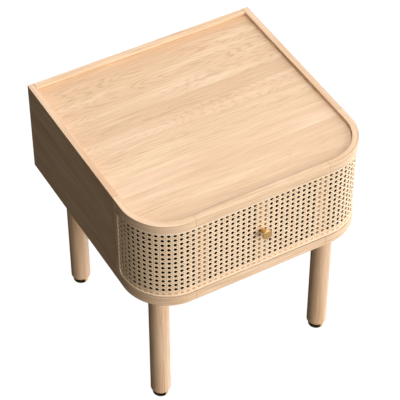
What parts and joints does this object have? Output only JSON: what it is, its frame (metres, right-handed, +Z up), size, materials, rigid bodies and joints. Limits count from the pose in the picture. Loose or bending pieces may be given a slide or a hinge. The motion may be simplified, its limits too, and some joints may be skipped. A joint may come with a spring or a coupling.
{
  "type": "nightstand",
  "caption": "Oak nightstand with rounded front corners, tray top, woven-cane drawer wrapping both corners, small brass knob and plain round legs.",
  "frame": {"origin": "on the floor, midway between the left and right sides, and midway between the knob's face and the back", "axes": "+Z up from the floor, -Y towards the user who pulls the drawer, +X to that user's right"},
  "size_m": [0.465, 0.4646, 0.5],
  "materials": {
    "oak": "solid pale oak, matt clear lacquer",
    "cane": "natural woven rattan cane, open octagonal weave",
    "liner_cloth": "black non-woven lining cloth",
    "drawer_wood": "pale hardwood drawer box, matt",
    "plywood": "oak-veneered plywood, matt",
    "dowel_beech": "fluted beech, unfinished",
    "knob_brass": "satin brushed antique brass",
    "glide_metal": "dark bronzed brass, polished",
    "zinc_steel": "zinc-plated rolled steel",
    "ball_steel": "polished bearing steel",
    "fastener_steel": "plated steel"
  },
  "bodies": {
    "case": {"back_panel": "plywood", "back_panel_screws": "fastener_steel", "back_upper_rail": "oak", "bottom_panel": "plywood", "foot_glide_back_left": "glide_metal", "foot_glide_back_right": "glide_metal", "foot_glide_front_left": "glide_metal", "foot_glide_front_right": "glide_metal", "front_post_left": "oak", "front_post_right": "oak", "leg_back_left": "oak", "leg_back_right": "oak", "leg_bolts": "fastener_steel", "leg_front_left": "oak", "leg_front_right": "oak", "lower_corner_rail_left": "oak", "lower_corner_rail_right": "oak", "lower_front_rail": "oak", "panel_dowels": "dowel_beech", "rail_dowels": "dowel_beech", "side_panel_left": "oak", "side_panel_right": "oak", "slide_case_channel_left": "zinc_steel", "slide_case_channel_right": "zinc_steel", "slide_case_screws": "fastener_steel", "threaded_inserts": "fastener_steel", "top_panel": "oak", "upper_corner_rail_left": "oak", "upper_corner_rail_right": "oak", "upper_front_rail": "oak"},
    "drawer": {"cane_bead": "oak", "cane_webbing": "cane", "drawer_back": "drawer_wood", "drawer_box_front": "drawer_wood", "drawer_floor": "plywood", "drawer_front_batten_left": "oak", "drawer_front_batten_right": "oak", "drawer_front_centre_stile": "oak", "drawer_front_end_stile_left": "oak", "drawer_front_end_stile_right": "oak", "drawer_front_liner": "liner_cloth", "drawer_front_lower_corner_left": "oak", "drawer_front_lower_corner_right": "oak", "drawer_front_lower_rail": "oak", "drawer_front_spacer_left": "drawer_wood", "drawer_front_spacer_right": "drawer_wood", "drawer_front_upper_corner_left": "oak", "drawer_front_upper_corner_right": "oak", "drawer_front_upper_rail": "oak", "drawer_screws": "fastener_steel", "drawer_side_left": "drawer_wood", "drawer_side_right": "drawer_wood", "knob": "knob_brass", "knob_screw": "fastener_steel", "slide_drawer_channel_left": "zinc_steel", "slide_drawer_channel_right": "zinc_steel"},
    "ball_cage_left": {"ball_cage_left": "zinc_steel", "bearing_balls_left": "ball_steel"},
    "ball_cage_right": {"ball_cage_right": "zinc_steel", "bearing_balls_right": "ball_steel"}
  },
  "joints": [
    {"name": "drawer_slide", "type": "slide", "parent": "case", "child": "drawer", "axis": [0, -1, 0], "range_m": [0, 0.22]},
    {"name": "ball_cage_left_slide", "type": "slide", "parent": "case", "child": "ball_cage_left", "axis": [0, -1, 0], "range_m": [0, 0.11]},
    {"name": "ball_cage_right_slide", "type": "slide", "parent": "case", "child": "ball_cage_right", "axis": [0, -1, 0], "range_m": [0, 0.11]}
  ],
  "couplings": [
    {"joint": "ball_cage_left_slide", "follows": "drawer_slide", "ratio": 0.5},
    {"joint": "ball_cage_right_slide", "follows": "drawer_slide", "ratio": 0.5}
  ]
}
